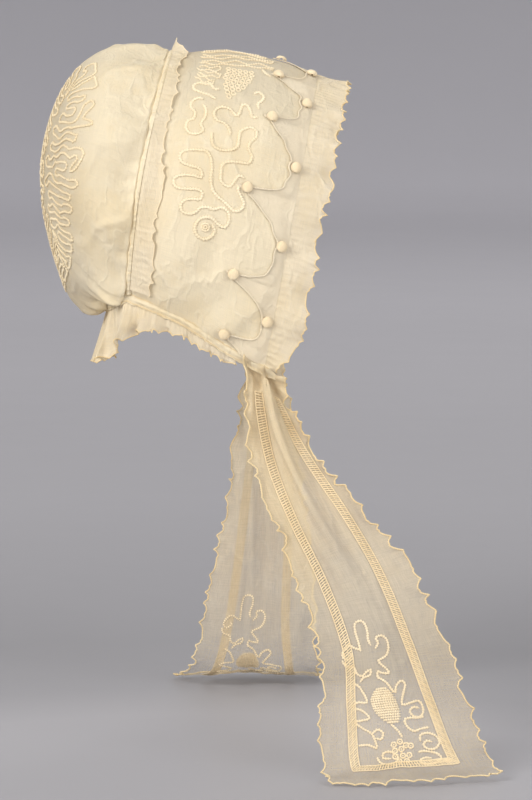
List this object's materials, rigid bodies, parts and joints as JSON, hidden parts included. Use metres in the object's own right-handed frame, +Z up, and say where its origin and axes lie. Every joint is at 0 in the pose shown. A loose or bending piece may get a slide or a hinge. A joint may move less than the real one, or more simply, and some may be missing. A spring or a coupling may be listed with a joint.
{
  "type": "nightcap",
  "caption": "Sheer muslin nightcap in its worn form: gathered crown, smooth front with a pointed facing and padded dots, pointed frills, a drawn neck edge and two long lappets.",
  "frame": {"origin": "the top of the head, just under the cloth, in the cap's middle plane", "axes": "+X to the face, -Y to the wearer's right, +Z up"},
  "size_m": [0.255, 0.3117, 0.3918],
  "materials": {
    "muslin": "sheer cream cotton muslin, matte",
    "cord": "cotton cord, matte",
    "stitched": "raised cotton stitching with a low sheen"
  },
  "bodies": {
    "root": {"front_panel": "muslin", "crown": "muslin", "neck_casing": "muslin", "front_facing": "muslin", "front_frill": "muslin", "seam_frill": "muslin", "neck_frill": "muslin", "lappet_right": "muslin", "lappet_left": "muslin", "seam_cord": "cord", "insertion_right": "stitched", "insertion_left": "stitched", "dot_01": "stitched", "dot_02": "stitched", "dot_03": "stitched", "dot_04": "stitched", "dot_05": "stitched", "dot_06": "stitched", "dot_07": "stitched", "dot_08": "stitched", "dot_09": "stitched", "dot_10": "stitched", "dot_11": "stitched", "dot_12": "stitched", "dot_13": "stitched", "dot_14": "stitched", "dot_15": "stitched", "dot_16": "stitched", "dot_17": "stitched", "dot_18": "stitched", "dot_19": "stitched", "dot_20": "stitched", "dot_21": "stitched"}
  },
  "joints": []
}
